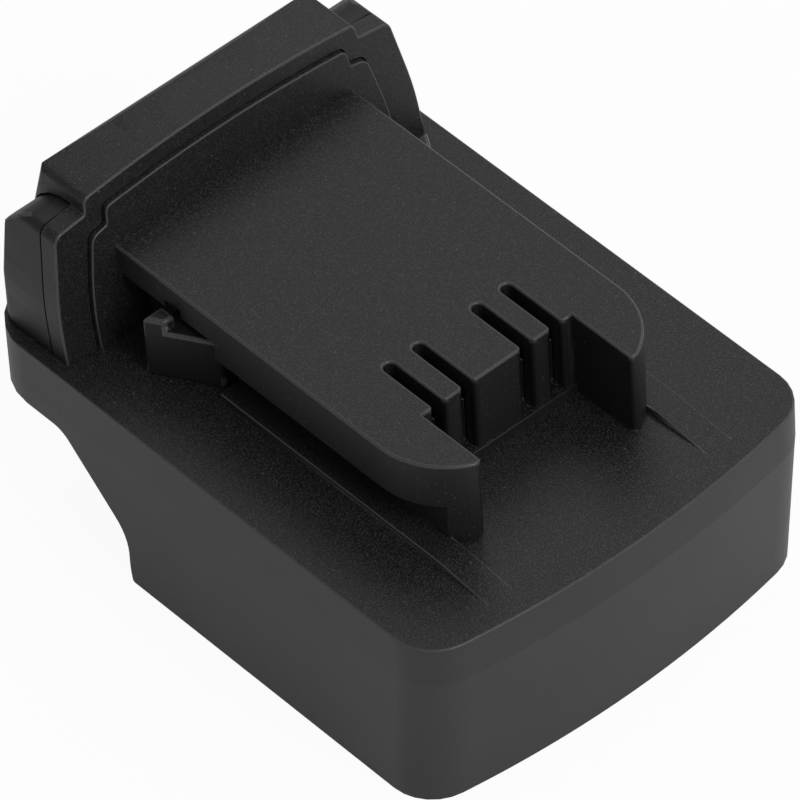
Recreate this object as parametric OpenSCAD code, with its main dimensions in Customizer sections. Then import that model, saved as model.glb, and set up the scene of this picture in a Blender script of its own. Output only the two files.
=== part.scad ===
// Tool battery adapter: a slide-on tool rail with side latches above, a slide-in pack receiver below.
// Millimetres. X runs across, -Y towards the terminal end, +Z up.
// The origin is the middle of the footprint box, on the surface that the adapter stands on.

/* [Body] */
// Width across the deck
body_w = 78; // [77:1:90]
// Length from the bowed front edge to the rear edge
body_l = 106; // [102:1:120]
// Height of the deck above the surface below
deck_h = 34.4; // [33:0.2:42]
// Height of the upper casing's outer lip at the front
lip_h = 7.6; // [6:0.1:8.4]
// How much higher that lip is at the rear
lip_drop = 1.5; // [0:0.1:2]
// Wall thickness of both casings
wall = 2.4; // [1.8:0.1:2.8]
// Radius of the bowed front edge
bow_r = 195; // [150:5:300]
// Radius of the front corners
corner_r = 8; // [5:0.5:10]
// Radius of the rear corners
rear_r = 11; // [9:0.5:12]
// Lean of the front wall below the parting line, in degrees
front_rake = 5; // [0:0.5:7]
// Length of the overhang behind the heel of the lower housing
heel_l = 33.2; // [28:0.2:38]
// Depth of the overhang's underside below the deck
overhang_d = 11.6; // [11:0.1:13]
// Height at which the rear wall starts to sweep back
sweep_z = 9.8; // [7:0.1:12]
// Run of the rear sweep from the heel to the overhang
sweep_l = 14; // [10:0.5:18]

/* [Tool rail] */
// Width across the rail's flanges
rail_w = 48.2; // [46:0.2:52]
// Height of the rail above the deck
rail_h = 15.9; // [14.5:0.1:18]
// Width across the web below the flanges
web_w = 40; // [38:0.2:43]
// Clear height below the flanges
gap_h = 7.4; // [6.5:0.1:8.5]
// Distance from the bowed front edge to the prong tips
rail_setback = 16.9; // [15.7:0.1:18.2]
// Radius of the rail's front corners
prong_r = 14; // [12:0.5:16]
// Width of the notch between the prongs
notch_w = 29.9; // [29:0.1:32]
// Length of the notch from the terminal fingers to the prong tips
notch_l = 12.9; // [11:0.1:14]
// Height of the guide strips beside the web
guide_h = 1.1; // [0.6:0.1:1.4]
// Reach of a guide strip past the flange, and its lap into the web
guide_lap = 0.4; // [0.2:0.1:0.6]
// Run-out of the guide strips past the prong tips
guide_run = 11; // [6:0.1:12]
// Height of the sill below the terminal slots
sill_h = 1.6; // [1:0.1:2.4]
// How far the sill stands out of the terminal fingers
sill_proud = 0.5; // [0.3:0.1:1.2]

/* [Terminal slots] */
// Width of a terminal slot
slot_w = 2.1; // [1.8:0.1:2.5]
// Length of a terminal slot
slot_l = 11.9; // [11:0.1:13]
// Distance from one slot to the next, and twice this between the middle pair
slot_pitch = 5.9; // [5.6:0.1:6.2]
// Width of the clip pocket below each slot
pocket_w = 3.4; // [3.2:0.1:3.8]

/* [Hump] */
// Depth of the hump along the deck
hump_d = 17.2; // [16.5:0.1:18.4]
// Depth of the hump at its top
hump_top_d = 10.4; // [9:0.1:12]
// Height of the upright part of the hump's rear
hump_rear_h = 19.5; // [19:0.1:20.5]
// Deck that shows behind the hump
hump_margin = 1.6; // [1.2:0.1:3]
// Deck that shows on each side of the hump
hump_inset = 2.6; // [2.2:0.1:4]
// Height of the hump above the deck
hump_h = 27.2; // [26.6:0.1:30]
// Backward lean of the hump's front face, in degrees
hump_lean = 9.7; // [7:0.1:11]
// How far each side of the hump leans in up to its shoulder
side_lean = 2.7; // [2:0.1:3.4]
// Height of the shoulders at their outer corner
shoulder_h = 22.3; // [21.5:0.1:23]
// Rise of the shoulders towards the arch
shoulder_rise = 0.7; // [0.3:0.1:1]
// Length of a shoulder, from its outer corner to the arch
shoulder_l = 6.1; // [5.4:0.1:7]
// Radius of the arch's bowed top
arch_r = 249; // [200:1:320]
// Thickness of the front frame
frame_t = 3.3; // [2.6:0.1:3.6]
// Width of the frame's legs
frame_leg = 6; // [5:0.1:7]
// Width of the frame at the arch
frame_top = 3; // [2.6:0.1:3.6]
// Thickness of the inner arch
arch_t = 3; // [2.4:0.1:3.2]
// How far the inner arch stands out of the frame
arch_proud = 0.9; // [0.4:0.1:1.2]
// Thickness of the hump's rear wall behind a squeeze pad
pad_back = 1.3; // [1:0.1:1.8]

/* [Latches] */
// Reach of a hook beyond the flange at rest
hook_reach = 4.8; // [4:0.1:5]
// Distance from the foot of the hump to a hook's locking face
hook_y = 9.4; // [8:0.1:11]
// Length of a hook along the rail
hook_l = 10.7; // [10:0.1:12]
// Height of a hook's top above the deck
hook_h = 9.3; // [8.6:0.1:10]
// Height of the tab at a hook's locking end
tab_h = 11.6; // [10.8:0.1:12]
// Length of that tab
tab_l = 3.1; // [2.6:0.1:3.6]
// Gap from that tab to the flange at rest
tab_gap = 0.8; // [0.5:0.1:1.2]
// Clear height below the flange above the hooks
window_h = 10.7; // [10.5:0.1:11.5]
// Width of a latch arm inside the rail
arm_w = 5; // [4:0.1:6]
// Height of a latch slider
slider_h = 8; // [7:0.1:8.4]
// Width of a latch slider
slider_w = 6.4; // [6:0.1:6.6]
// Skin thickness of a squeeze pad
pad_skin = 2.6; // [2:0.1:3]
// Outside diameter of a latch spring
spring_d = 4.2; // [3.8:0.1:4.4]
// Wire diameter of a latch spring
spring_wire = 0.5; // [0.4:0.05:0.6]
// Length of a latch spring at rest
spring_l = 18.4; // [17:0.1:19]
// Turns of a latch spring
spring_turns = 9; // [7:1:10]
// Width of the post between the springs
post_w = 6.4; // [6:0.1:7]

/* [Receiver] */
// Width of the receiver behind its lips
receiver_w = 60; // [56:0.5:61]
// Width of the receiver's mouth between its lips
mouth_w = 48; // [44:0.5:50]
// Depth of the receiver
receiver_d = 20; // [18:0.1:20.5]
// Thickness of the receiver's lips
lip_t = 5; // [4.4:0.1:6]
// Distance from the front edge to the receiver's end wall
receiver_setback = 9.2; // [8:0.1:11]
// Width of the slot that catches the donor's latch
catch_w = 14; // [10:0.5:18]
// Length of that slot
catch_l = 4; // [3:0.1:5]

/* [Contacts] */
// Sheet thickness of a clip
clip_t = 0.5; // [0.4:0.05:0.6]
// Height of a clip's leaves
clip_h = 8; // [7:0.1:9]
// Length of a clip's leaves
clip_l = 7.4; // [6.5:0.1:8]
// Thickness of a carrier plate
carrier_t = 3.6; // [3:0.1:4]
// Thickness of a blade
blade_t = 0.8; // [0.6:0.05:1]
// Length of a blade
blade_l = 12; // [10:0.1:13]
// Drop of a blade below the receiver's roof
blade_drop = 9; // [7:0.1:10]
// Distance of each blade from the middle
blade_x = 9; // [8:0.1:11]
// Distance from the receiver's end wall to a blade
blade_gap = 4; // [3:0.1:5]
// Thickness of the signal board
board_t = 1.6; // [1:0.1:1.6]
// Width of the signal board
board_w = 18; // [16:0.1:19]
// Length of the signal board
board_l = 24; // [22:0.1:27]
// Diameter of a power lead
lead_d = 2.4; // [2:0.1:2.8]
// Diameter of the sense lead
sense_d = 1.2; // [1:0.1:1.5]

/* [Fasteners] */
// Shank diameter of a casing screw
screw_d = 2.9; // [2.6:0.1:3.1]
// Head diameter of a casing screw
head_d = 5.4; // [5:0.1:5.8]
// Head height of a casing screw
head_h = 1.8; // [1.6:0.1:2]
// Shank diameter of the small inner screws
small_d = 2.2; // [2:0.1:2.4]
// Head diameter of the small inner screws
small_head_d = 4; // [3.6:0.1:4.2]
// Head height of the small inner screws
small_head_h = 1.4; // [1.2:0.1:1.6]
// Outside diameter of a screw boss
boss_d = 6.4; // [6:0.1:6.8]

/* [Fits] */
// Gap around pieces that slide
slide_gap = 0.3; // [0.2:0.05:0.4]
// Gap between pieces that are set into one another
set_gap = 0.2; // [0.1:0.05:0.25]
// Radial gap of a screw in its hole
screw_gap = 0.05; // [0.02:0.01:0.1]

/* [Hidden] */
$fn = 48;
// Reach of solids and cuts that run out of the part
far = 200;
// Reach of a cut past the face that it opens
over = 1;
// Overlap of solids that are one piece
join = 0.5;
// Room past the tip of a screw
tip_gap = 1;

hump_setback = body_l - hump_d - hump_margin;
hump_y = hump_setback - body_l / 2;
front_y = -hump_setback;
rear_y = body_l - hump_setback;
half_w = body_w / 2;
part_z = deck_h - lip_h;
under_z = deck_h - overhang_d;
heel_y = rear_y - heel_l;
roof_z = receiver_d + wall;
heel_r = 0.8;
sweep_r = 8;
overhang_r = 5;
lean = tan(hump_lean);

// Plan of the rail, measured from the foot of the hump
rail_l = hump_setback - rail_setback;
tip_y = -rail_l;
finger_y = tip_y + notch_l;
slot_end_y = finger_y + slot_l;
slot_xs = [-2 * slot_pitch, -slot_pitch, slot_pitch, 2 * slot_pitch];
tip_land = 1.4;
cavity_x = web_w / 2 - wall;
cavity_y = slot_end_y + wall;
cavity_h = rail_h - wall;

// Outline of the hump, right half
foot_x = half_w - hump_inset;
shoulder_x = foot_x - side_lean;
arch_x = shoulder_x - shoulder_l;
side_bow = 0.35;
side_bow_z = 9;
side_bow_r = 60;
shoulder_r = 1.8;
shoulder_top = shoulder_h + shoulder_rise;
nook_r = 0.5;
arch_step_r = 1.3;
arch_draft = 0.4;
hump_top_y = lean * hump_h + hump_top_d;
hump_rear_r = 4.5;
rear_tilt = atan((hump_d - hump_top_y) / (hump_h - hump_rear_h));
shoulder_rear_r = 9.8;
hump_corner_r = 5;
corner_out = 1.2;
arch_corner_r = 2.8;

// Latch room inside the hump
latch_travel = hook_reach + 0.2;
pad_in_x = arch_x - 3.6;
pad_rear_y = hump_d - pad_back - slide_gap;
pad_stop_x = pad_in_x - latch_travel - slide_gap;
slider_y = frame_t + slide_gap + lean * slider_h;
slider_in_x = post_w / 2 + slide_gap + latch_travel;
slider_out_x = shoulder_x - pad_skin;
arm_out_x = cavity_x - slide_gap;
hook_x = rail_w / 2 + hook_reach;
hook_front_y = -hook_y - hook_l;
hook_ramp = 0.6;
tab_in_x = rail_w / 2 + tab_gap;
tab_room_h = tab_h + 0.5;
spring_y = slider_y + slider_w / 2;
spring_z = 4.7;
spring_room = spring_d + 2 * set_gap;
spring_x = post_w / 2 + set_gap;
spring_end_x = spring_x + spring_l;
plate_t = 1.5;
plate_z = slider_h + slide_gap;
plate_x = 21;
cover_boss_d = 4.4;
cover_boss = [14, slider_y + slider_w + slide_gap + cover_boss_d / 2];
cover_screw_l = 7.5;

// Tool-side carrier and board, heights from the deck
carrier_z = -wall - carrier_t;
carrier_x = 18;
carrier_l = 16;
carrier_y = finger_y - 0.6;
carrier_screw = [16.2, carrier_y + carrier_l / 2];
carrier_screw_l = 9;
clip_gap = 1.1;
clip_y = slot_end_y - 1.8;
clip_z = sill_h + 0.4;
tail_w = 2.4;
board_z = carrier_z - board_t;
board_y = carrier_y + 2;
board_end_y = board_y + board_l;
board_screw_y = board_end_y - 3;
board_pin = 0.8;
tail_z = board_z - 1.6;
chip = [5, 4, 1.2];
chip_y = board_y + 3;
resistor = [2, 3.2, 0.6];
resistor_x = 6;
resistor_y = board_end_y - 6;

// Donor-side contacts, heights from the surface below
receiver_y = front_y + receiver_setback;
catch_y = heel_y - 4;
blade_y = receiver_y + blade_gap;
blade_end_y = blade_y + blade_l;
blade_tab_l = 3;
block_x = 17;
block_rim = 2.5;
block_t = 3.2;
block_z = roof_z + block_t;
ear = [21, blade_y + blade_l / 2];
ear_t = 2;
block_screw_l = 6.4;
blade_top = block_z + 2.6;

// Casing screws, [x, y] from the foot of the hump
front_screw_side = 4.8;
front_screw_l = 14.2;
rear_screw_side = 8;
rear_screw_l = 11;
front_screw = [half_w - front_screw_side, front_y + front_screw_l];
rear_screw = [half_w - rear_screw_side, rear_y - rear_screw_l];
tower_d = 7.4;
seat_t = 4.4;

black = "#1d1d1e";
grey = "#3a3b3d";
steel = "#b9bcc0";
brass = "#c8a24a";

// Geometry helpers

// Frame whose origin is the foot of the hump on the deck
module on_deck() {
    translate([0, hump_y, deck_h]) children();
}

// Frame with the same Y, whose heights start at the surface below
module on_ground() {
    translate([0, hump_y, 0]) children();
}

module both_sides() {
    children();
    mirror([1, 0, 0]) children();
}

module at(place, z = 0) {
    translate([place.x, place.y, z]) children();
}

function unit(v) = v / norm(v);

// Points of a corner at b, rounded with radius r between a and c
function corner(a, b, c, r, steps) =
    let (u = unit(a - b), v = unit(c - b), half = acos(u * v) / 2)
    let (middle = b + unit(u + v) * r / sin(half))
    let (start = b + u * r / tan(half) - middle, finish = b + v * r / tan(half) - middle)
    let (from = atan2(start.y, start.x), turn = atan2(finish.y, finish.x) - from)
    let (sweep = turn > 180 ? turn - 360 : turn < -180 ? turn + 360 : turn)
    [for (i = [0 : steps]) middle + r * [cos(from + sweep * i / steps), sin(from + sweep * i / steps)]];

// Outline from corners [x, y, radius]; wide bows take more steps
function rounded(points, steps = 6, wide_r = 20) =
    let (n = len(points))
    [for (i = [0 : n - 1])
        let (p = points[i], a = points[(i + n - 1) % n], c = points[(i + 1) % n])
        let (many = p.z > wide_r ? 3 * steps : steps)
        each p.z > 0 ? corner([a.x, a.y], [p.x, p.y], [c.x, c.y], p.z, many) : [[p.x, p.y]]];

function mirrored(points) = [for (i = [len(points) - 1 : -1 : 0]) [-points[i].x, points[i].y, points[i].z]];

// Solid of an outline [x, z] that runs along Y
module along_y(from = -far, to = far) {
    translate([0, to, 0]) rotate([90, 0, 0]) linear_extrude(to - from) children();
}

// Solid of a side view [y, z] that runs across X
module across_x(from = -far, to = far) {
    rotate([90, 0, 90]) translate([0, 0, from]) linear_extrude(to - from) children();
}

module box(low, high) {
    translate(low) cube(high - low);
}

// Ring of a tube at point p, square to direction d
function ring(p, d, r, sides) =
    let (side = unit(cross(d, abs(d.z) < 0.9 ? [0, 0, 1] : [1, 0, 0])), up = cross(side, d))
    [for (i = [0 : sides - 1]) p + r * (cos(360 * i / sides) * side + sin(360 * i / sides) * up)];

// Closed tube of radius r through points
module tube(points, r, sides) {
    n = len(points);
    rings = [for (i = [0 : n - 1])
        each ring(points[i], unit(points[min(i + 1, n - 1)] - points[max(i - 1, 0)]), r, sides)];
    walls = [for (i = [0 : n - 2], j = [0 : sides - 1])
        let (a = i * sides + j, b = i * sides + (j + 1) % sides)
        each [[a, b, b + sides], [a, b + sides, a + sides]]];
    first = [for (j = [1 : sides - 2]) [0, j + 1, j]];
    end = (n - 1) * sides;
    last = [for (j = [1 : sides - 2]) [end, end + j, end + j + 1]];
    polyhedron(points = rings, faces = concat(walls, first, last), convexity = 10);
}

// Screw along +Z whose head's underside is at the origin
module screw(shank_d, cap_d, cap_h, length) {
    cylinder(d = shank_d, h = length);
    translate([0, 0, -cap_h]) cylinder(d = cap_d, h = cap_h);
}

module hole(d, from, to) {
    translate([0, 0, from]) cylinder(d = d + 2 * screw_gap, h = to - from);
}

// Plans and outlines

// Height of the upper casing's lip at y: the parting line falls towards the rear
function lip_at(y) = lip_h + lip_drop * (y - front_y) / body_l;

// Front of the body with its bow and corners, inset by t, open towards the rear
module front_plan(t = 0) {
    w = half_w - t;
    turn = asin((half_w - corner_r) / bow_r);
    apex = front_y + t - (bow_r - t) * (1 / cos(turn) - 1);
    side = apex + w * tan(turn);
    polygon(rounded([
        [-w, far, 0], [-w, side, corner_r - t], [0, apex, bow_r - t], [w, side, corner_r - t], [w, far, 0]
    ]));
}

// Rear of the body with its corners, inset by t, open towards the front
module rear_plan(t = 0) {
    w = half_w - t;
    y = rear_y - t;
    polygon(rounded([[-w, -far, 0], [w, -far, 0], [w, y, rear_r - t], [-w, y, rear_r - t]]));
}

module body_plan(t = 0) {
    intersection() {
        front_plan(t);
        rear_plan(t);
    }
}

// Rail seen from above, no wider than width
module rail_plan(width) {
    round_x = rail_w / 2 - prong_r;
    land_x = notch_w / 2 + tip_land - round_x;
    round_y = tip_y + sqrt(prong_r * prong_r - land_x * land_x);
    intersection() {
        translate([-width / 2, tip_y]) square([width, rail_l + arch_t - arch_proud]);
        difference() {
            union() {
                translate([-rail_w / 2, round_y]) square([rail_w, far]);
                for (side = [-1, 1]) translate([side * round_x, round_y]) circle(prong_r, $fn = 96);
                translate([-round_x, tip_y]) square([2 * round_x, rail_l]);
            }
            translate([-notch_w / 2, tip_y - over]) square([notch_w, notch_l + over]);
        }
    }
}

// Corners of an arch with shoulders: half widths at foot, shoulder and arch, and their heights
function arch_points(foot, sh_x, sh_z, sh_in_z, step_x, top_z) =
    let (turn = asin((step_x - 2 * arch_step_r) / arch_r), apex = top_z + arch_r * (1 / cos(turn) - 1))
    let (half = [
        [foot, 0, 0], [foot - side_bow, side_bow_z, side_bow_r], [sh_x, sh_z, shoulder_r],
        [step_x, sh_in_z, nook_r], [step_x - arch_draft, apex - step_x * tan(turn), arch_step_r]
    ])
    concat(half, [[0, apex, arch_r]], mirrored(half));

// The hump's outer outline, drawn in by s on all sides
function hump_points(s = 0) = arch_points(
    foot_x - s, shoulder_x - s, shoulder_h - s, shoulder_top - s, arch_x - s, hump_h - s);

// The inner arch's outline, grown by g
function inner_points(g = 0) = arch_points(
    foot_x - frame_leg + g, shoulder_x - frame_leg + g, shoulder_h - frame_top + g,
    shoulder_top - frame_top + g, arch_x - frame_top + g, hump_h - frame_top + g);

// Rounded rear edge of a shoulder, from the rear face to the shoulder's top, as [y, z], moved out by g
function shoulder_edge(g = 0) = corner(
    [hump_d + g, 0], [hump_d + g, shoulder_top + g], [0, shoulder_top + g], shoulder_rear_r + g, 6);

// Plan that ends at x and at the hump's rear, with a rounded corner between them
module corner_plan(x) {
    polygon(rounded([[-far, -far, 0], [x, -far, 0], [x, hump_d, hump_corner_r], [-far, hump_d, 0]]));
}

// Right side of the hump's rear corner: upright at the foot, leaning in with the side above
module hump_corner() {
    side_angle = atan(side_lean / shoulder_h);
    intersection() {
        linear_extrude(far) corner_plan(foot_x);
        translate([foot_x + corner_out, 0, -over]) rotate([0, -side_angle, 0])
            linear_extrude(far) corner_plan(0);
    }
}

module hump_corners() {
    intersection() {
        hump_corner();
        mirror([1, 0, 0]) hump_corner();
    }
}

// What lies outside the upright corner at the arch's end, along its tilted rear
module arch_corner_waste() {
    translate([arch_x - arch_corner_r, hump_top_y - arch_corner_r / cos(rear_tilt), hump_h])
        rotate([rear_tilt, 0, 0]) translate([0, 0, -far]) linear_extrude(2 * far) difference() {
            square(far);
            circle(arch_corner_r);
        }
}

// The whole hump: outline, leaning front, rounded rear edges
module hump_solid() {
    difference() {
        intersection() {
            along_y(-over, far) polygon(rounded(hump_points()));
            across_x() polygon(rounded([
                [0, 0, 0], [hump_d, 0, 0], [hump_d, hump_rear_h, 0],
                [hump_top_y, hump_h, hump_rear_r], [lean * hump_h, hump_h, 0]]));
            hump_corners();
        }
        both_sides() intersection() {
            across_x(0, far) polygon(concat(
                [[far, shoulder_top - shoulder_rear_r]], shoulder_edge(),
                [[hump_d - shoulder_rear_r, far], [far, far]]));
            union() {
                box([arch_x, 0, 0], [far, far, far]);
                arch_corner_waste();
            }
        }
    }
}

// Upper casing

// Deck with its lip and the bosses of the casing screws, ended at the parting line
module deck() {
    intersection() {
        across_x() polygon([[-far, -lip_at(-far)], [far, -lip_at(far)], [far, over], [-far, over]]);
        translate([0, 0, -far]) union() {
            difference() {
                linear_extrude(far) body_plan();
                linear_extrude(far - wall) body_plan(wall);
            }
            both_sides() for (place = [front_screw, rear_screw])
                at(place) cylinder(d = boss_d, h = far - wall / 2);
        }
    }
}

module rail() {
    linear_extrude(rail_h) rail_plan(web_w);
    difference() {
        translate([0, 0, gap_h]) linear_extrude(rail_h - gap_h) rail_plan(rail_w);
        both_sides() box([web_w / 2, hook_front_y - slide_gap, 0], [far, far, window_h]);
    }
    box([-notch_w / 2, finger_y - sill_proud, 0], [notch_w / 2, finger_y + join, sill_h]);
}

module inner_arch() {
    back = arch_t - arch_proud;
    intersection() {
        along_y() polygon(rounded(inner_points()));
        across_x() polygon([
            [-arch_proud, 0], [back, 0],
            [back + lean * hump_h, hump_h], [lean * hump_h - arch_proud, hump_h]]);
    }
}

module terminal_slots() {
    for (x = slot_xs) {
        box([x - slot_w / 2, tip_y, sill_h], [x + slot_w / 2, slot_end_y - slot_w / 2, rail_h + over]);
        translate([x, slot_end_y - slot_w / 2, sill_h]) cylinder(d = slot_w, h = rail_h);
        box([x - pocket_w / 2, finger_y + wall, -wall - over],
            [x + pocket_w / 2, slot_end_y, cavity_h - over]);
    }
}

// Room for the latch arms inside the rail, windows for their hooks, and pockets for the hooks' tabs
module latch_room() {
    box([-cavity_x, cavity_y, 0], [cavity_x, lean * cavity_h + arch_t, cavity_h]);
    both_sides() {
        box([cavity_x - over, hook_front_y - slide_gap, 0], [web_w / 2 + over, slide_gap - hook_y, window_h]);
        box([tab_in_x - latch_travel - slide_gap, -hook_y - tab_l - slide_gap, window_h - over],
            [rail_w / 2 + over, slide_gap - hook_y, tab_room_h]);
    }
}

// Boss of the board's screw, and the post between the latch springs
module inner_bosses() {
    translate([0, board_screw_y, carrier_z]) cylinder(d = boss_d, h = carrier_t + wall / 2);
    box([-post_w / 2, slider_y, -join], [post_w / 2, slider_y + slider_w, plate_z]);
}

module upper_holes() {
    both_sides() {
        for (place = [front_screw, rear_screw]) at(place) hole(screw_d, -far, -wall / 2);
        at(carrier_screw) hole(small_d, -wall - over, carrier_screw_l - wall);
        at(cover_boss) hole(small_d, -wall - over, over);
    }
    translate([0, board_screw_y, 0]) hole(small_d, carrier_z - over, -wall / 2);
    translate([0, spring_y, 0]) hole(small_d, over, plate_z + over);
}

// Raised strips beside the web that run out towards the front edge
module guide_strips() {
    sink = 0.2;
    end_y = hook_front_y - slide_gap - over;
    both_sides() across_x(web_w / 2 - guide_lap, rail_w / 2 + guide_lap) polygon([
        [tip_y - (1 + sink) * guide_run, -sink * guide_h], [tip_y, guide_h],
        [end_y, guide_h], [end_y, -sink * guide_h]]);
}

module upper_casing() {
    color(black) on_deck() difference() {
        union() {
            deck();
            rail();
            guide_strips();
            inner_arch();
            inner_bosses();
        }
        terminal_slots();
        latch_room();
        upper_holes();
    }
}

// Hump cover

module cover_bosses() {
    both_sides() at(cover_boss) cylinder(d = cover_boss_d, h = cover_screw_l + tip_gap);
}

// Rooms of the two pads, and the hollow under the arch between them
module cover_room() {
    skirt = shoulder_top + slide_gap;
    rear = pad_rear_y + slide_gap;
    both_sides() across_x(pad_stop_x, far) intersection() {
        polygon(concat(
            [[frame_t - lean * over, -over], [hump_d + slide_gap, -over]], shoulder_edge(slide_gap),
            [[frame_t + lean * skirt, skirt]]));
        translate([0, -over]) square([rear, far]);
    }
    front = frame_t + set_gap;
    top = hump_h - wall;
    intersection() {
        along_y() polygon(rounded(hump_points(wall)));
        across_x(wall - arch_x, arch_x - wall) polygon(rounded([
            [front, 0, 0], [hump_d - wall, 0, 0], [hump_d - wall, hump_rear_h, 0],
            [hump_top_y - wall, top, hump_rear_r - wall], [front + lean * top, top, 0]]));
    }
}

module hump_cover() {
    color(black) on_deck() difference() {
        union() {
            difference() {
                hump_solid();
                cover_room();
                along_y(-far, hump_d / 2) polygon(rounded(inner_points(set_gap)));
            }
            cover_bosses();
        }
        both_sides() at(cover_boss) hole(small_d, -over, cover_screw_l);
    }
}

// Latches, drawn for the left side

// Shoulder behind the front frame, carried in under the arch and hollow inside
module squeeze_pad() {
    front = frame_t + slide_gap;
    rear = pad_rear_y - pad_skin;
    top = shoulder_h - pad_skin;
    inner = pad_in_x - over;
    side = [for (p = hump_points()) if (p.x > arch_x + nook_r) p];
    difference() {
        intersection() {
            mirror([1, 0, 0]) along_y(-over, far)
                polygon(rounded(concat([[inner, 0, 0]], side, [[inner, shoulder_top, 0]])));
            across_x(-far, -pad_in_x) intersection() {
                polygon(concat(
                    [[front, 0], [hump_d, 0]], shoulder_edge(),
                    [[front + lean * shoulder_top, shoulder_top]]));
                translate([0, slide_gap]) square([pad_rear_y, far]);
            }
            mirror([1, 0, 0]) hump_corner();
        }
        across_x(-slider_out_x, over - pad_in_x) polygon(rounded([
            [-over, -over, 0], [rear, -over, 0], [rear, top, shoulder_rear_r - pad_skin], [-over, top, 0]]));
    }
}

module slider() {
    difference() {
        box([-slider_out_x - join, slider_y, slide_gap], [-slider_in_x, slider_y + slider_w, slider_h]);
        box([-spring_end_x - set_gap, spring_y - spring_room / 2, spring_z - spring_room / 2],
            [over - slider_in_x, spring_y + spring_room / 2, slider_h + over]);
    }
}

// Part of the hook outside root_x, from its locking face over a length, up to a height
module hook_block(root_x, length, height) {
    tip_x = hook_x - hook_ramp * length;
    translate([0, 0, slide_gap]) linear_extrude(height - slide_gap) polygon([
        [-root_x, -hook_y], [-hook_x, -hook_y], [-tip_x, -hook_y - length], [-root_x, -hook_y - length]]);
}

module latch() {
    squeeze_pad();
    slider();
    hook_block(arm_out_x - join, hook_l, hook_h);
    hook_block(tab_in_x, tab_l, tab_h);
    box([-arm_out_x, hook_front_y, slide_gap], [arm_w - arm_out_x, slider_y + join, slider_h]);
}

module left_latch() {
    color(black) on_deck() latch();
}

module right_latch() {
    color(black) on_deck() mirror([1, 0, 0]) latch();
}

// Springs

spring_steps = 8 * spring_turns;
spring_path = [for (i = [0 : spring_steps])
    let (t = i / spring_steps, r = (spring_d - spring_wire) / 2, a = 360 * spring_turns * t)
    let (x = spring_x + spring_wire / 2 + t * (spring_l - spring_wire))
    [-x, spring_y + r * cos(a), spring_z + r * sin(a)]];
// Clear gap between neighbouring turns
spring_gap = min([for (i = [0 : spring_steps - 5], j = [i + 5 : spring_steps])
    norm(spring_path[i] - spring_path[j])]) - spring_wire;
echo(spring_gap = spring_gap);

module latch_spring() {
    tube(spring_path, spring_wire / 2, 6);
}

module left_latch_spring() {
    color(steel) on_deck() latch_spring();
}

module right_latch_spring() {
    color(steel) on_deck() mirror([1, 0, 0]) latch_spring();
}

module latch_plate() {
    color(grey) on_deck() difference() {
        box([-plate_x, slider_y, plate_z], [plate_x, slider_y + slider_w, plate_z + plate_t]);
        translate([0, spring_y, 0]) hole(small_d, plate_z - over, plate_z + plate_t + over);
    }
}

module latch_plate_screw() {
    color(steel) on_deck() translate([0, spring_y, plate_z + plate_t]) rotate([180, 0, 0])
        screw(small_d, small_head_d, small_head_h, plate_t + plate_z - over - tip_gap);
}

module hump_cover_screws() {
    color(steel) on_deck() both_sides() at(cover_boss, -wall)
        screw(small_d, small_head_d, small_head_h, wall + cover_screw_l - tip_gap);
}

// Tool-side contacts

module terminal_block() {
    color(grey) on_deck() difference() {
        union() {
            box([-carrier_x, carrier_y, carrier_z], [carrier_x, carrier_y + carrier_l, -wall]);
            for (x = slot_xs) box(
                [x - pocket_w / 2 + set_gap, clip_y - clip_l, -wall - join],
                [x + pocket_w / 2 - set_gap, clip_y, clip_z]);
        }
        for (x = slot_xs) box(
            [x - tail_w / 2 - set_gap, clip_y - clip_t - set_gap, carrier_z - over],
            [x + tail_w / 2 + set_gap, clip_y + over, clip_z + over]);
        both_sides() at(carrier_screw) hole(small_d, carrier_z - over, 0);
    }
}

module terminal_block_screws() {
    color(steel) on_deck() both_sides() at(carrier_screw, carrier_z)
        screw(small_d, small_head_d, small_head_h, carrier_t + carrier_screw_l - tip_gap);
}

// Spring clip at slot x: two leaves that close on a blade, a back, and a tail down to height z
module clip(x, z) {
    out = pocket_w / 2 - set_gap;
    waist = clip_gap / 2 + clip_t;
    outer = [[out, 0], [out, -0.3 * clip_l], [waist, -0.75 * clip_l], [out, -clip_l]];
    inner = [for (i = [len(outer) - 1 : -1 : 0]) [outer[i].x - clip_t, outer[i].y - (i == 0 ? clip_t : 0)]];
    right = concat(outer, inner);
    left = [for (i = [len(right) - 1 : -1 : 0]) [-right[i].x, right[i].y]];
    translate([x, clip_y, clip_z]) {
        linear_extrude(clip_h) polygon(concat(right, left));
        box([-tail_w / 2, -clip_t, z - clip_z], [tail_w / 2, 0, join]);
    }
}

module positive_clip() {
    color(brass) on_deck() clip(slot_xs[3], tail_z);
}

module negative_clip() {
    color(brass) on_deck() clip(slot_xs[0], tail_z);
}

module signal_clip_left() {
    color(brass) on_deck() clip(slot_xs[1], board_z - board_pin);
}

module signal_clip_right() {
    color(brass) on_deck() clip(slot_xs[2], board_z - board_pin);
}

module signal_board() {
    color("#1f5a38") on_deck() difference() {
        box([-board_w / 2, board_y, board_z], [board_w / 2, board_end_y, carrier_z]);
        for (i = [1, 2]) box(
            [slot_xs[i] - tail_w / 2 - set_gap, clip_y - clip_t - set_gap, board_z - over],
            [slot_xs[i] + tail_w / 2 + set_gap, clip_y + set_gap, carrier_z + over]);
        translate([0, board_screw_y, 0]) hole(small_d, board_z - over, carrier_z + over);
    }
}

module board_chip() {
    color("#222222") on_deck() translate([-chip.x / 2, chip_y, board_z - chip.z]) cube(chip);
}

module board_resistors() {
    color("#2b2b30") on_deck() both_sides()
        translate([resistor_x - resistor.x / 2, resistor_y, board_z - resistor.z]) cube(resistor);
}

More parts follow.
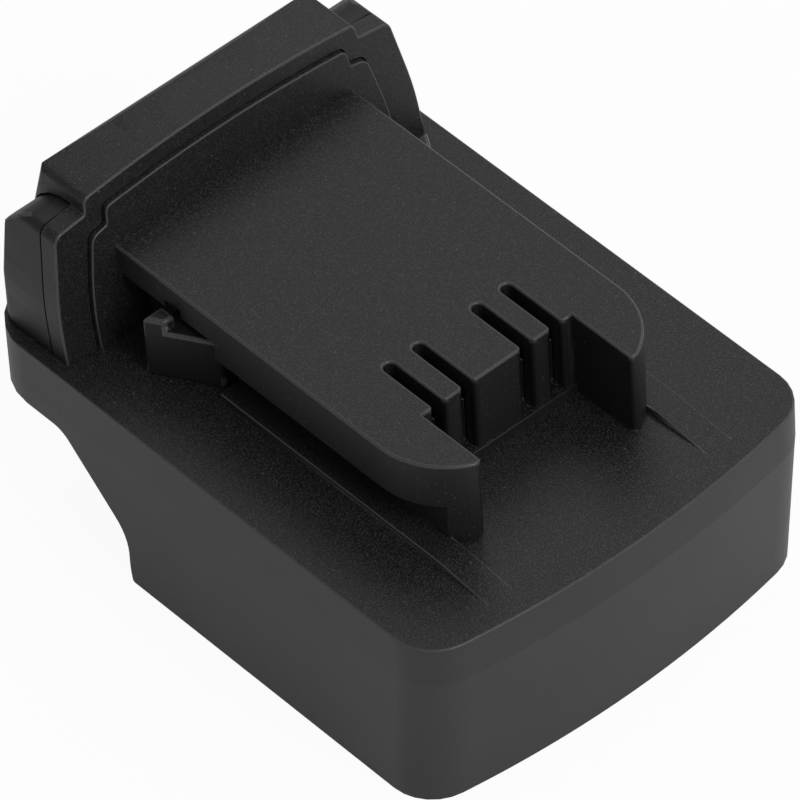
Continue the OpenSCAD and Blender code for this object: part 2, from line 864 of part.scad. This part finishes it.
module board_screw() {
    color(steel) on_deck() translate([0, board_screw_y, board_z])
        screw(small_d, small_head_d, small_head_h, board_t + carrier_t + wall / 2 - tip_gap);
}

// Lower housing

// Side view of the lower housing with its rear sweep
module lower_side() {
    polygon(rounded([
        [-far, 0, 0], [heel_y, 0, heel_r], [heel_y, sweep_z, sweep_r],
        [heel_y + sweep_l, under_z, overhang_r], [far, under_z, 0],
        [far, deck_h - lip_at(far), 0], [-far, deck_h - lip_at(-far), 0]]));
}

// Front of the lower housing, inset by t, leaning back below the parting line
module raked_front(t = 0) {
    translate([0, front_y, part_z]) rotate([front_rake, 0, 0]) translate([0, -front_y, -far / 2])
        linear_extrude(far) front_plan(t);
}

module lower_outer() {
    intersection() {
        raked_front();
        translate([0, 0, -over]) linear_extrude(deck_h) rear_plan();
        across_x() lower_side();
    }
}

// Room for wires above the receiver and in the overhang
module lower_room() {
    step_y = heel_y + sweep_l - wall;
    intersection() {
        union() {
            box([-far, -far, roof_z], [far, step_y, deck_h]);
            box([-far, step_y - over, under_z + wall], [far, far, deck_h]);
        }
        raked_front(wall);
        linear_extrude(deck_h) rear_plan(wall);
    }
}

// Hollows between the receiver's sides and the outer walls
module side_pockets() {
    both_sides() box(
        [receiver_w / 2 + wall, front_y + corner_r + 3, wall], [half_w - wall, heel_y - wall - over, deck_h]);
}

module receiver() {
    box([-receiver_w / 2, receiver_y, lip_t], [receiver_w / 2, far, receiver_d]);
    box([-mouth_w / 2, receiver_y, -over], [mouth_w / 2, far, receiver_d]);
    box([-catch_w / 2, catch_y, receiver_d - over], [catch_w / 2, catch_y + catch_l, roof_z + over]);
}

module towers() {
    both_sides() {
        for (place = [front_screw, rear_screw]) at(place, wall / 2) cylinder(d = tower_d, h = deck_h);
        at(ear, roof_z - over) cylinder(d = boss_d, h = block_t + over);
    }
}

module blade_slots(from, to) {
    both_sides() box(
        [blade_x - blade_t / 2 - set_gap, blade_y - set_gap, from],
        [blade_x + blade_t / 2 + set_gap, blade_end_y + set_gap, to]);
}

// Heights at which the heads of the casing screws seat
front_seat_z = deck_h - lip_at(front_screw.y) - seat_t;
rear_seat_z = under_z + head_h;

module lower_holes() {
    both_sides() {
        at(front_screw) hole(head_d + 2 * set_gap, -over, front_seat_z);
        at(rear_screw) hole(head_d + 2 * set_gap, 0, rear_seat_z);
        for (place = [front_screw, rear_screw]) at(place) hole(screw_d, 0, deck_h);
        at(ear) hole(small_d, receiver_d + over, far);
    }
}

module lower_housing() {
    color(black) on_ground() difference() {
        union() {
            difference() {
                lower_outer();
                lower_room();
                side_pockets();
            }
            intersection() {
                lower_outer();
                towers();
            }
        }
        receiver();
        lower_holes();
        blade_slots(receiver_d - over, roof_z + over);
    }
}

module casing_screws() {
    end_z = deck_h - wall / 2 - tip_gap;
    color(steel) on_ground() both_sides() {
        at(front_screw, front_seat_z) screw(screw_d, head_d, head_h, end_z - front_seat_z);
        at(rear_screw, rear_seat_z) screw(screw_d, head_d, head_h, end_z - rear_seat_z);
    }
}

// Donor-side contacts

module battery_terminal_block() {
    ear_r = boss_d / 2;
    color(grey) on_ground() difference() {
        union() {
            box([-block_x, blade_y - block_rim, roof_z], [block_x, blade_end_y + block_rim, block_z]);
            box([-block_x, ear.y - ear_r, block_z - join], [block_x, ear.y + ear_r, block_z + ear_t]);
            box([-ear.x - ear_r, ear.y - ear_r, block_z], [ear.x + ear_r, ear.y + ear_r, block_z + ear_t]);
        }
        blade_slots(0, far);
        both_sides() at(ear) hole(small_d, 0, far);
    }
}

module battery_block_screws() {
    color(steel) on_ground() both_sides() at(ear, block_z + ear_t) rotate([180, 0, 0])
        screw(small_d, small_head_d, small_head_h, block_screw_l);
}

module blade(x) {
    box([x - blade_t / 2, blade_y, receiver_d - blade_drop], [x + blade_t / 2, blade_end_y, block_z]);
    box([x - blade_t / 2, blade_end_y - blade_tab_l, roof_z], [x + blade_t / 2, blade_end_y, blade_top]);
}

module positive_blade() {
    color(brass) on_ground() blade(blade_x);
}

module negative_blade() {
    color(brass) on_ground() blade(-blade_x);
}

// Lead from a clip's tail to a blade, drawn for the right side
lead_start = [slot_xs[3], clip_y - clip_t - set_gap / 2, deck_h + tail_z + lead_d / 2];
lead_end = [blade_x, blade_end_y + set_gap / 2, blade_top - lead_d / 2];
lead_run = 2.2;
lead_path = [
    lead_start, lead_start - [0, lead_run, 0], lead_start + lead_run * [0.1, -2.1, -0.1],
    lead_end + lead_run * [0.8, 2.5, -0.2], lead_end + [0, lead_run, 0], lead_end
];

// Lead from the board to the negative blade
sense_run = 2;
sense_x = 4;
sense_z = blade_top - 0.75 * sense_d;
sense_start = [-sense_x, board_y - set_gap / 2, deck_h + board_z + board_t / 2];
sense_end = [-blade_x + blade_t / 2 + set_gap / 2, blade_end_y - blade_tab_l / 2, sense_z];
sense_path = [
    sense_start, sense_start - [0, sense_run, 0],
    sense_end + sense_run * [1.2, 0.6, 0], sense_end + [sense_run / 2, 0, 0], sense_end
];

module positive_lead() {
    color("#a01c1c") on_ground() tube(lead_path, lead_d / 2, 8);
}

module negative_lead() {
    color("#161616") on_ground() mirror([1, 0, 0]) tube(lead_path, lead_d / 2, 8);
}

module sense_lead() {
    color("#d8d8d0") on_ground() tube(sense_path, sense_d / 2, 8);
}

upper_casing();
hump_cover();
lower_housing();
left_latch();
right_latch();
left_latch_spring();
right_latch_spring();
latch_plate();
latch_plate_screw();
hump_cover_screws();
terminal_block();
terminal_block_screws();
positive_clip();
negative_clip();
signal_clip_left();
signal_clip_right();
signal_board();
board_chip();
board_resistors();
board_screw();
battery_terminal_block();
battery_block_screws();
positive_blade();
negative_blade();
positive_lead();
negative_lead();
sense_lead();
casing_screws();
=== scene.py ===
"""Tool battery adapter: looks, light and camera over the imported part, in metres and in the part's frame."""
import math
from collections import namedtuple

import bmesh
import bpy
from mathutils import Matrix, Vector, kdtree


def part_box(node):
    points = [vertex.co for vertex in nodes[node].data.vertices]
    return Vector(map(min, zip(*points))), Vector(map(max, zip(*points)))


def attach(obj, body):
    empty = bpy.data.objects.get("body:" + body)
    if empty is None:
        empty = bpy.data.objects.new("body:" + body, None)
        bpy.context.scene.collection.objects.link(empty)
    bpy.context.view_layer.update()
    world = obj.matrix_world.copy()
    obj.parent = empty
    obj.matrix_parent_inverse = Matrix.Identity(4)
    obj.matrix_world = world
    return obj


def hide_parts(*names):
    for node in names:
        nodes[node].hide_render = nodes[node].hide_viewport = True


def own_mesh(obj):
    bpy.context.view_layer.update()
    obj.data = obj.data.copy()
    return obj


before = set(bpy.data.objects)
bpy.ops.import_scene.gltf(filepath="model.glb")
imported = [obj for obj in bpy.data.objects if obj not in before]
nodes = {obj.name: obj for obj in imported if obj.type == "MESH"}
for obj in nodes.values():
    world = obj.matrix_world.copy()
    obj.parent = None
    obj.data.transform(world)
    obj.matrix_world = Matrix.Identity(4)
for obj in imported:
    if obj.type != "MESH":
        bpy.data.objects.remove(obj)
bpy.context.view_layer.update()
scene = bpy.context.scene
MM = 0.001

# The hump's foot on the deck, in mm in the part's frame
HUMP_Y, DECK_Z = 34.2, 34.4
# Places in mm from that foot: the rail with its front half, prongs, notch and fingers, the guide strips
# beside it, the hooks, and the hump
RAIL_TOP, RAIL_Y, TIP_Y, NOTCH_X, FINGER_Y = 15.9, -45, -70.3, 14.95, -57.4
STRIP_X, STRIP_H = 19, 1.8
HOOK_H, HOOK_Y = 9.3, -8
HUMP_H, ARCH_X, FRAME_T = 27.2, 27.6, 3.3
# How far the hump's front leans back for each mm of height
LEAN = 0.171


def deck_z(height):
    """The part's z, in metres, at a height in mm above the deck."""
    return (DECK_Z + height) * MM


def hump_y(distance):
    """The part's y, in metres, at a distance in mm behind the hump's foot."""
    return (HUMP_Y + distance) * MM


# Materials

UNTINTED = (1.0, 1.0, 1.0)
PLASTIC_IOR = 1.44
# Tones of the outer walls, and of the latches and the edges that get no painted highlight
WALL, DARK = 0.0195, 0.006
# Sizes of the moulded grain and of the drift of tone, and the range that most values of a noise lie in
GRAIN, DRIFT = 0.21 * MM, 14 * MM
USUAL = (0.3, 0.7)
# Layers of pale specks, painted glints: size of a cell, reach of a speck in it, share of the cells without
# one, and tone
GLINT_SPECKS = ((0.8 * MM, 0.18, 0.3, 0.12), (3.0 * MM, 0.06, 0.4, 0.2), (11 * MM, 0.022, 0.5, 0.6))


class Shader:
    """A new material with short calls that add nodes to it."""

    def __init__(self, name):
        self.material = bpy.data.materials.new(name)
        self.material.use_nodes = True
        self.tree = self.material.node_tree
        self.bsdf = self.tree.nodes["Principled BSDF"]
        self.place = self.add("TexCoord").outputs["Object"]

    def set(self, node, values):
        """Links or sets the inputs of a node."""
        for key, value in values.items():
            if isinstance(value, bpy.types.NodeSocket):
                self.tree.links.new(value, node.inputs[key])
            else:
                node.inputs[key].default_value = value

    def add(self, kind, values=None, **settings):
        """A new node with its inputs and settings."""
        node = self.tree.nodes.new("ShaderNode" + kind)
        for key, value in settings.items():
            setattr(node, key, value)
        self.set(node, values or {})
        return node

    def split(self, vector):
        """The X, Y and Z of a vector."""
        return self.add("SeparateXYZ", {"Vector": vector}).outputs

    def noise(self, size, detail=2.0, rough=0.5):
        """Noise whose features are about size metres across."""
        return self.add("TexNoise", {
            "Vector": self.place, "Scale": 1 / size, "Detail": detail, "Roughness": rough}).outputs["Fac"]

    def ramp(self, value, low, high, out_low=0.0, out_high=1.0):
        """value from low..high mapped to out_low..out_high and held at the ends."""
        return self.add("MapRange", {
            "Value": value, "From Min": low, "From Max": high, "To Min": out_low, "To Max": out_high,
        }).outputs["Result"]

    def spread(self, noise, low=0.0, high=1.0):
        """A noise's usual range mapped to low..high."""
        return self.ramp(noise, *USUAL, low, high)

    def mix(self, share, a, b):
        """Colour a with a share of colour b."""
        node = self.add("Mix", data_type="RGBA")
        self.set(node, {0: share, 6: a, 7: b})
        return node.outputs[2]

    def math(self, operation, a, b=0.0):
        """One number from one or two."""
        return self.add("Math", {0: a, 1: b}, operation=operation).outputs[0]

    def bump(self, height, distance, strength=1.0, under=None):
        """Normal of a height map, on top of another normal if there is one."""
        values = {"Height": height, "Distance": distance, "Strength": strength}
        if under:
            values["Normal"] = under
        return self.add("Bump", values).outputs["Normal"]


def grey(level, tint=UNTINTED):
    """A grey, or a tinted colour, as Blender's four numbers."""
    return tuple(level * part for part in tint) + (1.0,)


def plastic(name, shade, rough, grain_and_glint, glints, depth=0.012 * MM, moulded=False, tint=UNTINTED):
    """Plastic with a moulded texture and pale specks, both carrying painted glints, of given strengths, and a
    slow drift of tone.
    A moulded one has this grained look with its painted glints on the faces that look up and on the hump, and
    is smooth on the walls."""
    s = Shader(name)
    fine = s.noise(GRAIN, 2.0, 0.6)
    drift = s.spread(s.noise(DRIFT))

    def drifting(tone, hue):
        """A colour that drifts a tenth darker and paler."""
        return s.mix(drift, grey(tone * 0.9, hue), grey(tone * 1.1, hue))

    plain = drifting(shade, tint)
    # Moulded grain with painted glints: darker spots and much paler ones
    grain_and_glints = s.mix(s.ramp(fine, 0.5, 0.63), grey(shade * 0.1, tint), grey(shade * 4.8, tint))
    strength = grain_and_glint
    if moulded:
        place = s.split(s.place)
        facing = s.split(s.add("NewGeometry").outputs["Normal"])["Z"]
        on_hump = s.math(
            "MULTIPLY", s.ramp(place["Y"], hump_y(-3), hump_y(-2), 0.0, 0.6),
            s.ramp(place["Z"], deck_z(-0.5), deck_z(0)))
        # The grain's painted glints are strongest on faces that look up, and weaker high above the deck
        glints_facing_up = s.math(
            "MULTIPLY", s.ramp(facing, 0.3, 0.7, 0.15, 1.0),
            s.ramp(place["Z"], deck_z(4), deck_z(12), 1.0, 0.75))
        strength = s.math("MULTIPLY", s.math("MAXIMUM", glints_facing_up, on_hump), grain_and_glint)
    colour = s.mix(strength, plain, grain_and_glints)
    # Pale specks: painted glints
    for size, reach, without, tone in GLINT_SPECKS if glints else ():
        cell = s.add("TexVoronoi", {"Vector": s.place, "Scale": 1 / size, "Randomness": 1.0})
        near = s.ramp(cell.outputs["Distance"], reach * 0.6, reach, 1.0, 0.0)
        chance = s.add("SeparateColor", {"Color": cell.outputs["Color"]}).outputs["Red"]
        share = s.math("MULTIPLY", near, s.ramp(chance, without, 1.0, 0.0, glints))
        colour = s.mix(share, colour, grey(tone))
    if moulded:
        wall = s.ramp(place["Z"], deck_z(-0.6), deck_z(-0.3), 1.0, 0.0)
        colour = s.mix(wall, colour, drifting(WALL, UNTINTED))
    s.set(s.bsdf, {
        "Base Color": colour,
        "Roughness": s.spread(fine, rough - 0.06, rough + 0.06),
        "IOR": PLASTIC_IOR,
        "Normal": s.bump(s.noise(3 * MM), 0.01 * MM, 0.4, s.bump(fine, depth)),
    })
    return s.material


def painted_highlight_edge(name, shade, rough):
    """Edge plastic painted paler along its edges as a highlight, but not along the upright ones of the rail
    and the hooks.
    """
    s = Shader(name)
    place = s.split(s.place)
    # Where the edges without painted highlight start: at the deck, or above the guide strips, whose own edges
    # keep the painted highlight
    foot = s.ramp(
        s.math("ABSOLUTE", place["X"]), STRIP_X * MM, (STRIP_X + 0.2) * MM, deck_z(0.1), deck_z(STRIP_H))

    def upright(reach, top):
        """1 in front of y = reach, from the foot up to the height top, both in mm."""
        return s.math(
            "MULTIPLY", s.ramp(place["Y"], hump_y(reach), hump_y(reach + 0.5), 1.0, 0.0),
            s.math("MULTIPLY", s.ramp(s.math("SUBTRACT", place["Z"], foot), 0.0, 0.4 * MM),
                   s.ramp(place["Z"], deck_z(top - 0.6), deck_z(top), 1.0, 0.0)))

    # The upright edges of the rail and the hooks keep the plain dark tone, without painted highlight
    dark = s.math("MAXIMUM", upright(RAIL_Y, RAIL_TOP - 0.5), upright(HOOK_Y, HOOK_H - 1))
    # Painted highlight, paler and darker in spots along the edge
    broken_highlight = s.ramp(s.noise(0.5 * MM, 3.0), 0.35, 0.65, 0.6, 1.4)
    pale = s.mix(broken_highlight, grey(shade * 0.5), grey(shade * 1.1))
    fine = s.noise(0.22 * MM)
    s.set(s.bsdf, {
        "Base Color": s.mix(dark, pale, grey(DARK)),
        "Roughness": s.spread(fine, rough - 0.05, rough + 0.08),
        "IOR": PLASTIC_IOR,
        "Normal": s.bump(fine, 0.006 * MM),
    })
    return s.material


def metal(name, colour, rough):
    """Bare metal with a fine texture and dull patches."""
    s = Shader(name)
    dull = s.noise(2 * MM, 4.0, 0.6)
    s.set(s.bsdf, {
        "Base Color": s.mix(s.ramp(dull, 0.35, 0.75), grey(1.0, colour), grey(0.7, colour)),
        "Roughness": s.spread(dull, rough, rough + 0.15),
        "Metallic": 1.0,
        "Normal": s.bump(s.noise(0.15 * MM), 0.004 * MM),
    })
    return s.material


def insulation(name, colour):
    """Soft wire insulation with a faint texture and dust."""
    s = Shader(name)
    dust = s.noise(0.8 * MM, 4.0, 0.6)
    pale = grey(1.0, tuple(min(1.0, 0.85 * part + 0.03) for part in colour))
    s.set(s.bsdf, {
        "Base Color": s.mix(s.ramp(dust, 0.4, 0.8), grey(1.0, colour), pale),
        "Roughness": s.spread(dust, 0.35, 0.5),
        "Normal": s.bump(s.noise(0.3 * MM), 0.006 * MM),
    })
    return s.material


grained = plastic("grained_black", 0.0085, 0.48, 1.0, 0.5, 0.019 * MM, moulded=True)
satin = plastic("satin_black", WALL, 0.46, 0.08, 0.2, 0.006 * MM)
slider = plastic("latch_black", DARK, 0.5, 0.15, 0.2, 0.006 * MM)
# Pale colour on the rounded edges: a painted highlight
edge_highlight = painted_highlight_edge("edge_painted_highlight", 0.042, 0.36)
carrier = plastic("carrier_grey", 0.045, 0.5, 0.2, 0.0)
steel = metal("plated_steel", (0.55, 0.56, 0.58), 0.28)
brass = metal("plain_brass", (0.72, 0.52, 0.22), 0.25)
nickel = metal("dull_nickel", (0.2, 0.2, 0.19), 0.34)
board = plastic("board_green", 0.06, 0.35, 0.05, 0.0, 0.006 * MM, tint=(0.12, 1.0, 0.3))
chip = plastic("chip_black", 0.014, 0.4, 0.2, 0.0, 0.006 * MM)
red = insulation("lead_red", (0.34, 0.012, 0.012))
black = insulation("lead_black", (0.012, 0.012, 0.012))
white = insulation("lead_white", (0.62, 0.62, 0.56))

LOOKS = {
    "upper_casing": grained, "hump_cover": grained, "lower_housing": satin,
    "left_latch": slider, "right_latch": slider,
    "left_latch_spring": steel, "right_latch_spring": steel,
    "latch_plate": carrier, "latch_plate_screw": steel, "hump_cover_screws": steel,
    "terminal_block": carrier, "terminal_block_screws": steel,
    "positive_clip": nickel, "negative_clip": nickel,
    "signal_clip_left": nickel, "signal_clip_right": nickel,
    "signal_board": board, "board_chip": chip, "board_resistors": chip, "board_screw": steel,
    "battery_terminal_block": carrier, "battery_block_screws": steel,
    "positive_blade": brass, "negative_blade": brass,
    "positive_lead": red, "negative_lead": black, "sense_lead": white, "casing_screws": steel,
}
for name, look in LOOKS.items():
    mesh = nodes[name].data
    mesh.materials.clear()
    mesh.materials.append(look)


# Rounded edges

# Largest radius of an edge and none, then the radii by place, all in mm
WIDEST, CRISP = 2.0, 0.0
ARCH_R, RAIL_R, FINGER_R, PRONG_R, DECK_R, STRIP_R, FLANGE_R = 0.22, 0.4, 0.9, 0.8, 0.3, 0.2, 0.1
COVER_R, ROOF_END_R = 0.3, 0.6
HOOK_TOP_R, HOOK_SIDE_R, PAD_R = 0.65, 0.5, 0.5
FOOT_R = 0.4
INNER_R = 0.12
# Bends below which two faces are one face or one curved surface, and above which an inner edge is eased
FLAT, CURVED, SHARP = math.radians(0.3), math.radians(28), math.radians(40)
# Corners closer than this are one
JOIN = 0.002 * MM

# An edge: its middle in mm from the hump's foot, with |x|, its direction, the mean normal of its two faces,
# and whether it sticks out
Edge = namedtuple("Edge", "x y z along tilt convex")


def casing_edge(edge):
    """Radius of an edge of the upper casing, in mm."""
    upright = abs(edge.along.z) > 0.9
    in_notch = edge.x < NOTCH_X + 0.3
    if edge.z < -0.2 or not edge.convex:
        return CRISP
    if edge.y > -1.2:
        return ARCH_R if edge.z > 1 else CRISP
    if edge.z > RAIL_TOP - 0.1:
        return RAIL_R
    if upright and in_notch and TIP_Y + 3 < edge.y < FINGER_Y + 0.5:
        return FINGER_R
    if upright and edge.y < TIP_Y + 3:
        return PRONG_R if in_notch else CRISP
    if edge.z < 0.1:
        return DECK_R
    return STRIP_R if edge.z < 2 else FLANGE_R


def cover_edge(edge):
    """Radius of an edge of the hump cover, in mm."""
    inward = edge.tilt.x < -0.2 or edge.tilt.z < -0.2
    if edge.z < 0.5 or not edge.convex or inward or edge.tilt.y > 0.2:
        return CRISP
    if edge.x > ARCH_X + 0.3 and edge.y - LEAN * edge.z > FRAME_T - 0.4:
        return CRISP
    roof_end = edge.x > ARCH_X - 3 and edge.z > HUMP_H - 3 and abs(edge.along.y) > 0.5
    return ROOF_END_R if roof_end else COVER_R


def latch_edge(edge):
    """Radius of an edge of a latch, in mm."""
    if not edge.convex or edge.z < 0.5:
        return CRISP
    if edge.y < HOOK_Y:
        return HOOK_TOP_R if edge.tilt.z > 0.3 else HOOK_SIDE_R
    behind_frame = edge.x > ARCH_X and edge.y - LEAN * edge.z > FRAME_T + 0.6
    return PAD_R if behind_frame and edge.z > 4 and edge.tilt.z > 0.3 else CRISP


def housing_edge(edge):
    """Radius of an edge of the lower housing, in mm."""
    return FOOT_R if edge.convex and edge.z < 1 - DECK_Z else CRISP


def plain_corners(node):
    """Drops the node's own normals and sharp marks, and joins its split corners."""
    for flag in ("custom_normal", "sharp_edge", "sharp_face"):
        if flag in node.data.attributes:
            node.data.attributes.remove(node.data.attributes[flag])
    node.modifiers.new("join", "WELD").merge_threshold = JOIN


def weigh(mesh, radius):
    """The bevel weight of each edge that isn't part of a curve, by the joined corners at its ends, and the
    joined corner of each vertex."""
    whole = bmesh.new()
    whole.from_mesh(mesh)
    bmesh.ops.remove_doubles(whole, verts=whole.verts, dist=JOIN)
    whole.verts.index_update()
    finder = kdtree.KDTree(len(whole.verts))
    for corner in whole.verts:
        finder.insert(corner.co, corner.index)
    finder.balance()
    weights = {}
    for edge in whole.edges:
        bend = edge.calc_face_angle_signed(0)
        if abs(bend) < CURVED:
            continue
        first, last = (corner.co / MM for corner in edge.verts)
        mid = (first + last) / 2
        tilt = (edge.link_faces[0].normal + edge.link_faces[1].normal) / 2
        tilt.x = math.copysign(tilt.x, tilt.x * mid.x)
        along = (last - first).normalized()
        size = radius(Edge(abs(mid.x), mid.y - HUMP_Y, mid.z - DECK_Z, along, tilt, bend > 0))
        weights[frozenset(corner.index for corner in edge.verts)] = size / WIDEST
    joined = [finder.find(corner.co)[1] for corner in mesh.vertices]
    whole.free()
    return weights, joined


def soften(name, radius, highlighted=True):
    """Merges the node's flat triangles and rounds each edge by radius(), and unless told not to gives the
    rounds a pale painted highlight.
    """
    node = nodes[name]
    mesh = node.data
    plain_corners(node)
    weights, joined = weigh(mesh, radius)
    share = mesh.attributes.new("bevel_weight_edge", "FLOAT", "EDGE").data
    for edge in mesh.edges:
        weight = weights.get(frozenset(joined[i] for i in edge.vertices))
        share[edge.index].value = weight or 0.0
        edge.use_edge_sharp = weight == CRISP
    merge = node.modifiers.new("flat", "DECIMATE")
    merge.decimate_type = "DISSOLVE"
    merge.angle_limit = FLAT
    bevel = node.modifiers.new("edge", "BEVEL")
    bevel.width = WIDEST * MM
    bevel.segments = 3
    bevel.limit_method = "WEIGHT"
    bevel.use_clamp_overlap = False
    # The rounds take the pale material, a painted highlight
    if highlighted:
        mesh.materials.append(edge_highlight)
        bevel.material = 1
    node.modifiers.new("normals", "WEIGHTED_NORMAL").keep_sharp = True


def ease(name):
    """Takes the sharpness off all edges of a small inner node."""
    node = nodes[name]
    plain_corners(node)
    bevel = node.modifiers.new("edge", "BEVEL")
    bevel.width = INNER_R * MM
    bevel.segments = 2
    bevel.limit_method = "ANGLE"
    bevel.angle_limit = SHARP
    bevel.use_clamp_overlap = True
    node.modifiers.new("normals", "WEIGHTED_NORMAL")


soften("upper_casing", casing_edge)
soften("hump_cover", cover_edge)
soften("lower_housing", housing_edge, highlighted=False)
soften("left_latch", latch_edge)
soften("right_latch", latch_edge)
for name in (
        "latch_plate", "terminal_block", "battery_terminal_block", "signal_board", "board_chip",
        "board_resistors", "positive_blade", "negative_blade",
        "positive_clip", "negative_clip", "signal_clip_left", "signal_clip_right"):
    ease(name)


# Latch springs, as round-wire coils of fixed length held to the casing; the real ones shorten as their latch
# slides in


def spring(node, turns=9, wire=0.5 * MM, around=24, sides=10):
    """A round-wire spring in place of the node's plain one."""
    low, high = (Vector(corner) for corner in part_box(node))
    mid = (low + high) / 2
    reach = (high.z - low.z - wire) / 2
    length = high.x - low.x - wire
    steps = turns * around
    shape = bmesh.new()
    rings = []
    for i in range(steps + 1):
        turn = 2 * math.pi * i / around
        out = Vector((0, math.cos(turn), math.sin(turn)))
        centre = Vector((low.x + wire / 2 + length * i / steps, mid.y, mid.z)) + out * reach
        rings.append([
            shape.verts.new(centre + wire / 2 * (math.cos(a) * out + math.sin(a) * Vector((1, 0, 0))))
            for a in (2 * math.pi * k / sides for k in range(sides))])
    for first, last in zip(rings, rings[1:]):
        for k in range(sides):
            after = (k + 1) % sides
            shape.faces.new((first[k], first[after], last[after], last[k])).smooth = True
    shape.faces.new(rings[0])
    shape.faces.new(reversed(rings[-1]))
    bmesh.ops.recalc_face_normals(shape, faces=shape.faces)
    mesh = bpy.data.meshes.new(node + "_coil")
    shape.to_mesh(mesh)
    shape.free()
    mesh.materials.append(steel)
    coil = bpy.data.objects.new(node + "_coil", mesh)
    scene.collection.objects.link(coil)
    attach(coil, "casing")
    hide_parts(node)
    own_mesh(coil)


spring("left_latch_spring")
spring("right_latch_spring")


# Camera, as measured from the photograph's edges

AZIMUTH, ELEVATION, ROLL = math.radians(-39.369), math.radians(45.333), math.radians(-3.688)
TARGET = Vector((-5.38, -6.35, 34.4)) * MM
DISTANCE = 1.5081
back = Vector((
    math.sin(AZIMUTH) * math.cos(ELEVATION), -math.cos(AZIMUTH) * math.cos(ELEVATION), math.sin(ELEVATION)))
flat_right = Vector((math.cos(AZIMUTH), math.sin(AZIMUTH), 0))
flat_up = back.cross(flat_right)
right = math.cos(ROLL) * flat_right + math.sin(ROLL) * flat_up
up = math.cos(ROLL) * flat_up - math.sin(ROLL) * flat_right
lens = bpy.data.cameras.new("camera")
lens.lens = 452.07
lens.sensor_width = 36
lens.clip_end = 20
camera = bpy.data.objects.new("camera", lens)
facing = Matrix((right, up, back)).transposed().to_4x4()
camera.matrix_world = Matrix.Translation(TARGET + back * DISTANCE) @ facing
scene.collection.objects.link(camera)
scene.camera = camera


# Floor and light

# How much of the floor's brightness is plain white, as the camera sees it and in reflections
SEEN_WHITE, MIRRORED_WHITE = 0.94, 0.25
FLOOR_REACH = 3
corners = [(x * FLOOR_REACH, y * FLOOR_REACH, 0) for x, y in ((-1, -1), (1, -1), (1, 1), (-1, 1))]
ground = bpy.data.meshes.new("floor")
ground.from_pydata(corners, [], [(0, 1, 2, 3)])
floor = bpy.data.objects.new("floor", ground)
scene.collection.objects.link(floor)
paper = Shader("paper_floor")
paper.set(paper.bsdf, {
    "Base Color": paper.mix(paper.noise(0.3), grey(0.86), grey(0.9)),
    "Roughness": 0.9,
    "Specular IOR Level": 0.1,
})
glow = paper.add("Emission", {"Color": grey(1.0), "Strength": 1.0})
path = paper.add("LightPath").outputs
mirrored = paper.math("MAXIMUM", path["Is Glossy Ray"], path["Is Transmission Ray"])
share = paper.math(
    "ADD", paper.math("MULTIPLY", path["Is Camera Ray"], SEEN_WHITE),
    paper.math("MULTIPLY", mirrored, MIRRORED_WHITE))
blend = paper.add("MixShader", {0: share, 1: paper.bsdf.outputs[0], 2: glow.outputs[0]})
paper.tree.links.new(blend.outputs[0], paper.tree.nodes["Material Output"].inputs["Surface"])
ground.materials.append(paper.material)

# Brightness of the surroundings
AMBIENT = 0.36
world = bpy.data.worlds.new("studio")
world.use_nodes = True
scene.world = world
surroundings = world.node_tree.nodes["Background"].inputs
surroundings["Color"].default_value = grey(1.0)
surroundings["Strength"].default_value = AMBIENT

# Soft boxes: their side, the point that they face, and the place and watts of each
BOX_SIZE, BOX_AIM = 0.6, Vector((0, 0, 0.03))
LAMPS = {
    "key": ((0.0, -0.94, 0.9), 8.1),
    "rim": ((0.65, 0.65, 0.92), 1.6),
    "side": ((0.92, -0.1, 0.92), 2.7),
}
for name, (place, power) in LAMPS.items():
    light = bpy.data.lights.new(name, "AREA")
    light.size = BOX_SIZE
    light.energy = power
    lamp = bpy.data.objects.new(name, light)
    lamp.location = place
    lamp.rotation_euler = (BOX_AIM - Vector(place)).to_track_quat("-Z", "Y").to_euler()
    scene.collection.objects.link(lamp)

scene.view_settings.view_transform = "Standard"
